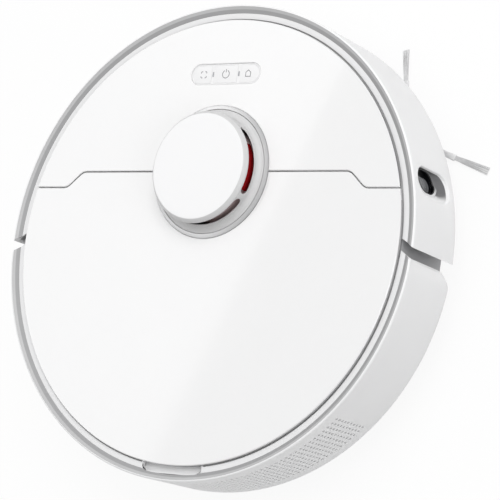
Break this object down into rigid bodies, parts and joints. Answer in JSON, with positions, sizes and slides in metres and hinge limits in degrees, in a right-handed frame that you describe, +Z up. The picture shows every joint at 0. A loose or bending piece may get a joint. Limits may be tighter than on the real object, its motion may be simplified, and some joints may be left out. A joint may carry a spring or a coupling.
{
  "type": "robot vacuum cleaner",
  "caption": "Round white robot vacuum with a laser turret, lift-up lid, sprung bumper, side brush, main brush and drive wheels.",
  "frame": {"origin": "on the floor, midway between the two drive wheels' contact points, on the axis of the round body", "axes": "+Z up, +Y forwards, +X to the machine's right"},
  "size_m": [0.3581, 0.35, 0.0965],
  "materials": {
    "white_shell": "satin white moulding",
    "gloss_white": "gloss white, glass-like",
    "white_inner": "fine-textured white moulding",
    "silver_trim": "satin",
    "grey_plastic": "textured grey moulding",
    "dark_plastic": "textured dark moulding",
    "base_grey": "fine-textured light grey moulding",
    "black_gloss": "gloss black, infrared window",
    "sensor_grey": "smoked lens",
    "laser_red": "deep red filter",
    "rotor_brown": "satin",
    "icon_light": "smoked light guide",
    "contact_metal": "plated, brushed",
    "steel": "bright drawn",
    "screw_steel": "black-zinc",
    "tyre_rubber": "matt rubber",
    "belt_rubber": "matt",
    "bristle": "nylon bristle",
    "brush_blue": "soft rubber and nylon",
    "brush_grey": "satin",
    "circuit": "lacquered board",
    "cell_wrap": "shrink wrap",
    "filter_paper": "pleated paper",
    "bin_smoke": "smoked clear plastic"
  },
  "bodies": {
    "body": {"chassis_base": "base_grey", "rear_housing": "white_shell", "rear_trim": "silver_trim", "top_deck": "white_inner", "front_plate": "gloss_white", "turret_base": "white_shell", "button_panel": "white_inner", "status_lights": "icon_light", "lidar_base": "dark_plastic", "lidar_belt": "belt_rubber", "charge_contacts": "contact_metal", "cliff_windows": "black_gloss", "battery_pack": "cell_wrap", "battery_cover": "base_grey", "main_board": "circuit", "speaker": "dark_plastic", "blower_housing": "dark_plastic", "brush_chamber": "grey_plastic", "brush_motor": "dark_plastic", "side_brush_motor": "dark_plastic", "dust_bin": "bin_smoke", "bin_cover": "white_inner", "bin_filter": "filter_paper", "bin_handle": "grey_plastic", "wheel_well_left": "dark_plastic", "wheel_well_right": "dark_plastic", "wheel_springs": "steel", "lid_hinge_pins": "steel", "bumper_springs": "steel", "bumper_switches": "dark_plastic", "brush_guard": "grey_plastic", "base_screws": "screw_steel"},
    "bumper": {"bumper_shell": "white_shell", "front_trim": "silver_trim", "wall_sensor_window": "black_gloss", "wall_sensor_lens": "sensor_grey", "dock_window": "black_gloss"},
    "lid": {"lid_panel": "gloss_white", "lid_frame": "white_inner"},
    "turret": {"turret_cap": "white_shell"},
    "rotor": {"lidar_rotor": "rotor_brown", "lidar_window": "laser_red"},
    "pulley": {"lidar_pulley": "grey_plastic"},
    "spot_key": {"spot_button": "white_inner"},
    "power_key": {"power_button": "white_inner"},
    "home_key": {"home_button": "white_inner"},
    "main_brush": {"brush_core": "brush_grey", "brush_bristles": "brush_blue"},
    "side_brush": {"side_brush_hub": "bristle", "side_brush_bristles": "bristle"},
    "caster": {"caster_fork": "grey_plastic"},
    "caster_roller": {"caster_wheel": "white_inner"},
    "arm_left": {"wheel_arm_left": "dark_plastic"},
    "arm_right": {"wheel_arm_right": "dark_plastic"},
    "wheel_left": {"wheel_rim_left": "grey_plastic", "tyre_left": "tyre_rubber"},
    "wheel_right": {"wheel_rim_right": "grey_plastic", "tyre_right": "tyre_rubber"},
    "fan": {"impeller": "white_inner"}
  },
  "joints": [
    {"name": "bumper_press", "type": "slide", "parent": "body", "child": "bumper", "axis": [0, -1, 0], "range_m": [0, 0.0035], "stiffness_N_per_m": 900, "springref_m": -0.002, "deforming": ["bumper_springs"]},
    {"name": "lid_hinge", "type": "hinge", "parent": "body", "child": "lid", "pos_m": [0, 0.0476, 0.0774], "axis": [-1, 0, 0], "range_deg": [0, 55]},
    {"name": "turret_press", "type": "slide", "parent": "body", "child": "turret", "axis": [0, 0, -1], "range_m": [0, 0.001], "stiffness_N_per_m": 1500, "springref_m": -0.001},
    {"name": "lidar_spin", "type": "hinge", "parent": "body", "child": "rotor", "pos_m": [0, 0.0495, 0.07], "axis": [0, 0, 1], "continuous": true},
    {"name": "pulley_spin", "type": "hinge", "parent": "body", "child": "pulley", "pos_m": [0.05262, 0.06865, 0.064], "axis": [0, 0, 1], "continuous": true},
    {"name": "spot_press", "type": "slide", "parent": "body", "child": "spot_key", "axis": [0, 0, -1], "range_m": [0, 0.0006], "stiffness_N_per_m": 700, "springref_m": -0.0006},
    {"name": "power_press", "type": "slide", "parent": "body", "child": "power_key", "axis": [0, 0, -1], "range_m": [0, 0.0006], "stiffness_N_per_m": 700, "springref_m": -0.0006},
    {"name": "home_press", "type": "slide", "parent": "body", "child": "home_key", "axis": [0, 0, -1], "range_m": [0, 0.0006], "stiffness_N_per_m": 700, "springref_m": -0.0006},
    {"name": "main_brush_spin", "type": "hinge", "parent": "body", "child": "main_brush", "pos_m": [0, -0.052, 0.0205], "axis": [1, 0, 0], "continuous": true},
    {"name": "side_brush_spin", "type": "hinge", "parent": "body", "child": "side_brush", "pos_m": [0.1147, 0.0927, 0.01], "axis": [0, 0, 1], "continuous": true},
    {"name": "caster_swivel", "type": "hinge", "parent": "body", "child": "caster", "pos_m": [0, 0.12, 0.03], "axis": [0, 0, 1], "continuous": true},
    {"name": "caster_roll", "type": "hinge", "parent": "caster", "child": "caster_roller", "pos_m": [0, 0.111, 0.013], "axis": [1, 0, 0], "continuous": true},
    {"name": "suspension_left", "type": "hinge", "parent": "body", "child": "arm_left", "pos_m": [-0.0928, 0.042, 0.038], "axis": [1, 0, 0], "range_deg": [0, 24], "stiffness_Nm_per_rad": 0.35, "springref_deg": 57.3},
    {"name": "drive_left", "type": "hinge", "parent": "arm_left", "child": "wheel_left", "pos_m": [-0.1125, 0, 0.035], "axis": [1, 0, 0], "continuous": true},
    {"name": "suspension_right", "type": "hinge", "parent": "body", "child": "arm_right", "pos_m": [0.0928, 0.042, 0.038], "axis": [1, 0, 0], "range_deg": [0, 24], "stiffness_Nm_per_rad": 0.35, "springref_deg": 57.3},
    {"name": "drive_right", "type": "hinge", "parent": "arm_right", "child": "wheel_right", "pos_m": [0.1125, 0, 0.035], "axis": [1, 0, 0], "continuous": true},
    {"name": "fan_spin", "type": "hinge", "parent": "body", "child": "fan", "pos_m": [-0.1065, -0.08, 0.02], "axis": [0, 0, 1], "continuous": true}
  ],
  "couplings": [
    {"joint": "pulley_spin", "follows": "lidar_spin", "ratio": 6.8}
  ]
}
